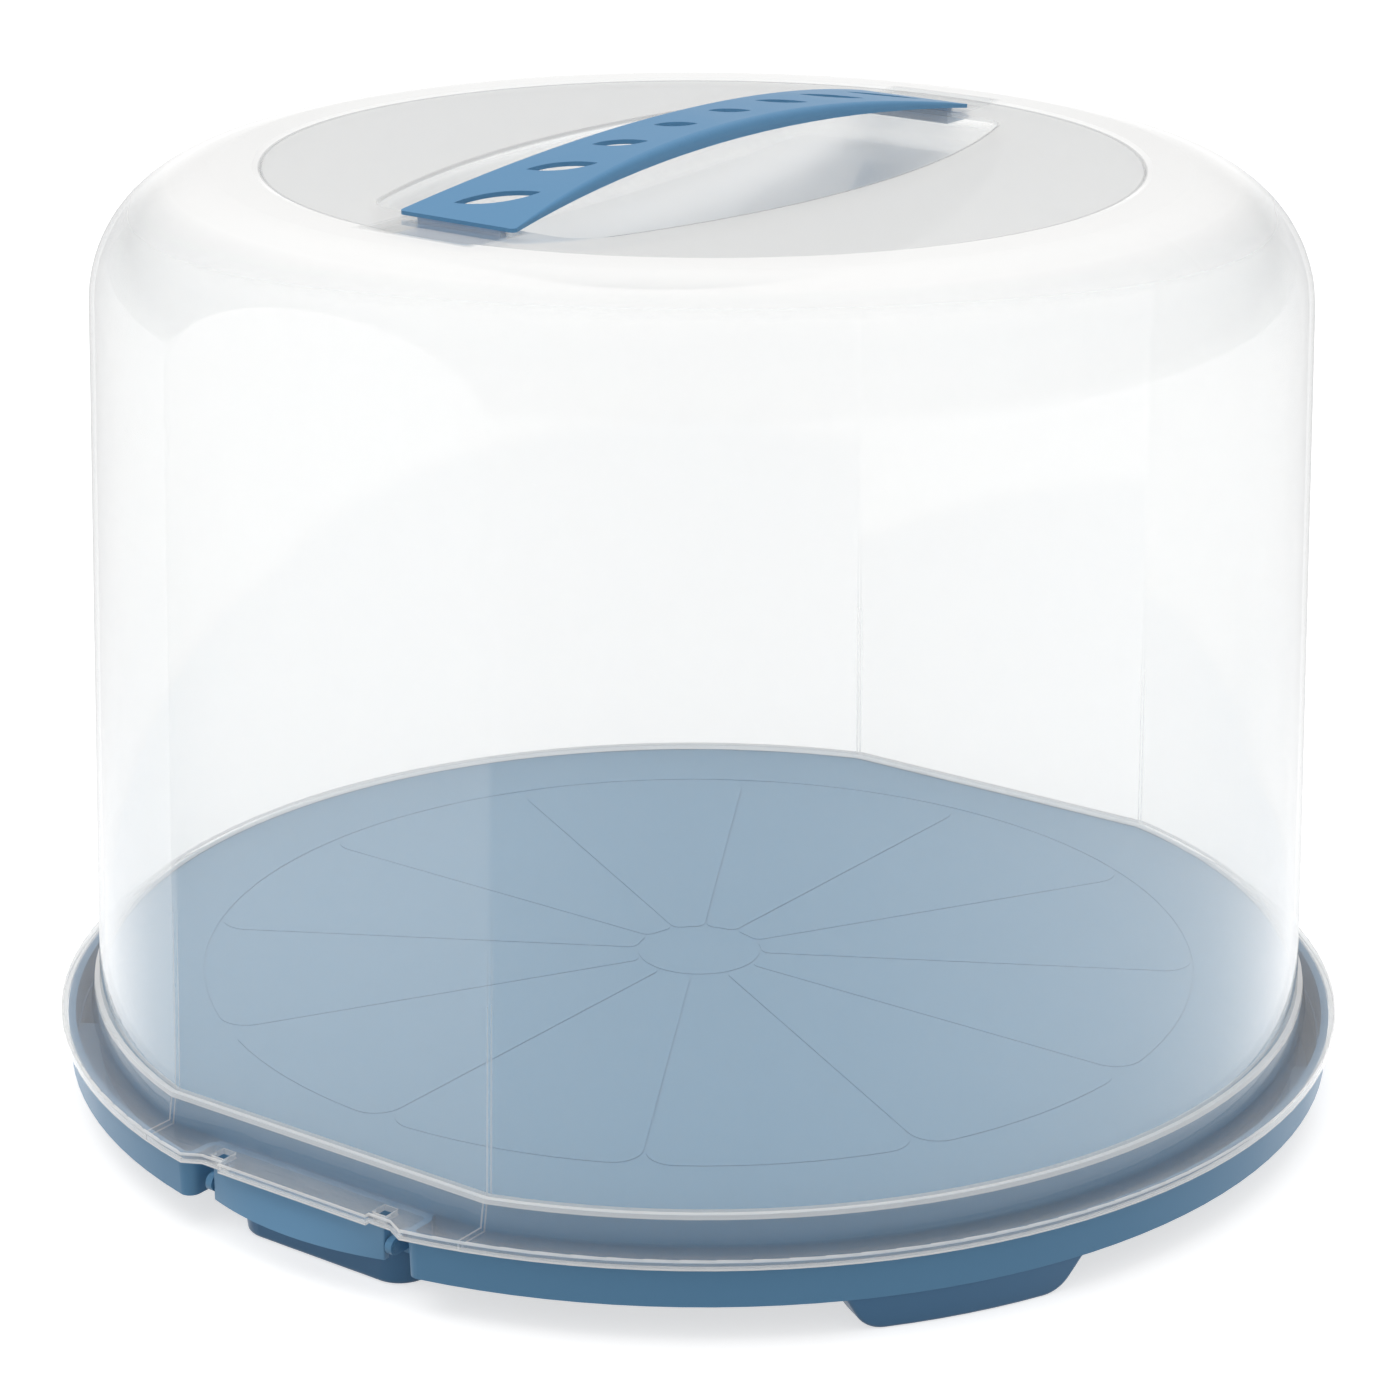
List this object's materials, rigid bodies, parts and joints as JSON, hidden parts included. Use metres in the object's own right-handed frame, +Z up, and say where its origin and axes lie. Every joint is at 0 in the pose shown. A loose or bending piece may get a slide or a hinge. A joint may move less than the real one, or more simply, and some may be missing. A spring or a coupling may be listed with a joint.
{
  "type": "cake keeper",
  "caption": "Round cake keeper: blue tray with feet and engraved slicing guide, clear tall dome with flats on two sides, clipped-in carry handle and rocker latches.",
  "frame": {"origin": "on the table under the centre of the tray", "axes": "+Z up, +X across the handle, +Y along the handle; the two flats and their latches face +Y and -Y, and latch_front is at -Y"},
  "size_m": [0.3548, 0.3492, 0.2657],
  "materials": {
    "blue_plastic": "satin moulded polypropylene",
    "clear_plastic": "clear slightly milky polypropylene",
    "handle_plastic": "satin moulded polypropylene"
  },
  "bodies": {
    "base": {"base_tray": "blue_plastic"},
    "dome": {"dome": "clear_plastic", "handle": "handle_plastic"},
    "latch_front": {"latch_front": "blue_plastic"},
    "latch_rear": {"latch_rear": "blue_plastic"}
  },
  "joints": [
    {"name": "dome_lift", "type": "slide", "parent": "base", "child": "dome", "axis": [0, 0, 1], "range_m": [0, 0.26]},
    {"name": "latch_front_hinge", "type": "hinge", "parent": "base", "child": "latch_front", "pos_m": [0, -0.1684, 0.0153], "axis": [-1, 0, 0], "range_deg": [0, 15]},
    {"name": "latch_rear_hinge", "type": "hinge", "parent": "base", "child": "latch_rear", "pos_m": [0, 0.1684, 0.0153], "axis": [1, 0, 0], "range_deg": [0, 15]}
  ]
}
